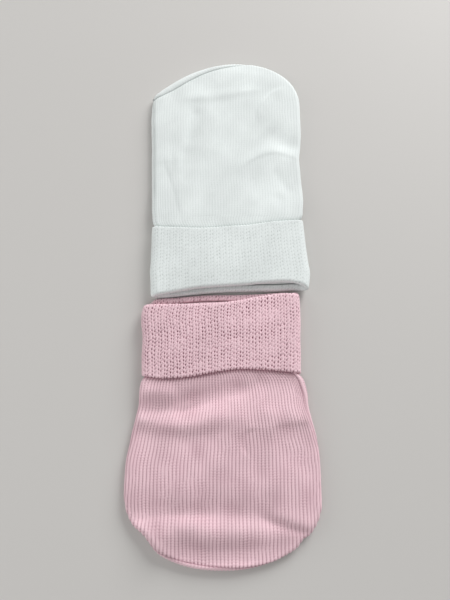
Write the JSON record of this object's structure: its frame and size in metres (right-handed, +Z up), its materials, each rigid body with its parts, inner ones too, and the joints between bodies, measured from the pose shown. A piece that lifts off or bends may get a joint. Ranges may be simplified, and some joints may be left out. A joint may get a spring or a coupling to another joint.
{
  "type": "pair of baby mittens",
  "caption": "Pair of thumbless baby mittens in fine rib knit with deep turned-back cuffs, lying flat end to end, mouth to mouth.",
  "frame": {"origin": "on the surface the mittens lie on, at the middle of the pair, between the two mouths", "axes": "+Z up from the surface; +Y along the pair, from the pink mitten to the white one; +X to the right with +Y pointing away"},
  "size_m": [0.0805, 0.232, 0.0081],
  "materials": {
    "white_knit": "matt cotton rib knit",
    "pink_knit": "matt cotton rib knit"
  },
  "bodies": {
    "root": {"white_front_panel": "white_knit", "white_back_panel": "white_knit", "white_cuff_front": "white_knit", "white_cuff_back": "white_knit", "pink_front_panel": "pink_knit", "pink_back_panel": "pink_knit", "pink_cuff_front": "pink_knit", "pink_cuff_back": "pink_knit"}
  },
  "joints": []
}
